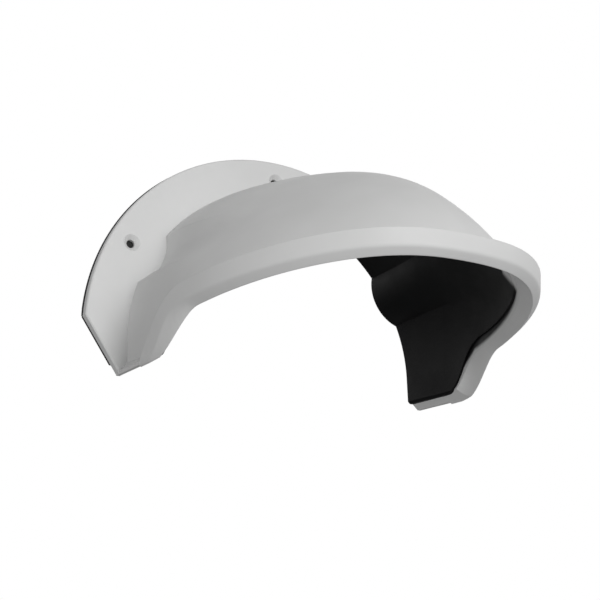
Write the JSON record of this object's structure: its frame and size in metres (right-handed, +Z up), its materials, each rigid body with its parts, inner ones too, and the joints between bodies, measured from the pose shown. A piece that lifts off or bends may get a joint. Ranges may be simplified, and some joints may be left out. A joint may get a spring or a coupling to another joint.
{
  "type": "camera sun shield",
  "caption": "wall-mounted sun shield: half-round flange with a deep peaked hood, raised front rim and black liner, going over a dome camera",
  "frame": {"origin": "centre of the flange's round edge, on the plane of the wall (back of the gasket); the axis of the camera that the shield goes round runs through it", "axes": "+Z up, +X to the right as seen from in front, the wall behind at +Y and the hood reaching out along -Y"},
  "size_m": [0.2764, 0.2116, 0.1672],
  "materials": {
    "shell": "fine satin moulded surface, light grey white",
    "liner": "dull black, anti-glare",
    "gasket": "black closed-cell foam"
  },
  "bodies": {
    "root": {"hood_shell": "shell", "inner_liner": "liner", "wall_gasket": "gasket"}
  },
  "joints": []
}
